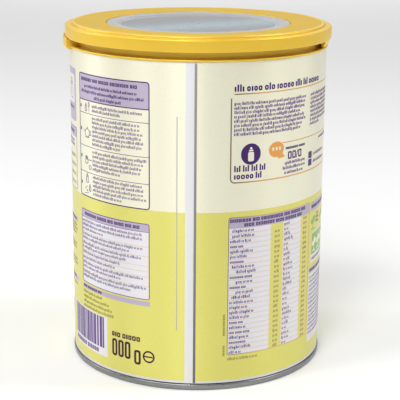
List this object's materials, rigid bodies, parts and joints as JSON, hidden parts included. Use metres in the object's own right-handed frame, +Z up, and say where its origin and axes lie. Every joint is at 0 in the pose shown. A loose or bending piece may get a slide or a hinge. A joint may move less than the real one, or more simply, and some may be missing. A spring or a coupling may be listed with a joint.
{
  "type": "infant formula tin",
  "caption": "Round steel food tin with a welded side seam and a seamed foot, shut by a yellow flip-lid overcap with a frosted window; cream and yellow printed wall with plain panels.",
  "frame": {"origin": "on the can's axis, on the plane the tin stands on", "axes": "+Z up along the can's axis, -Y towards the welded side seam, -X towards the overcap's hinge lug"},
  "size_m": [0.1324, 0.1314, 0.1692],
  "materials": {
    "printed_tinplate": "offset printed and varnished",
    "bare_tinplate": "bare tinplate",
    "seal_foil": "satin foil",
    "lid_plastic": "moulded satin",
    "window_plastic": "frosted clear"
  },
  "bodies": {
    "root": {"tin_body": "printed_tinplate", "bottom_end": "bare_tinplate", "foil_seal": "seal_foil", "lid_collar": "lid_plastic", "lid_ring": "lid_plastic", "lid_window": "window_plastic"}
  },
  "joints": []
}
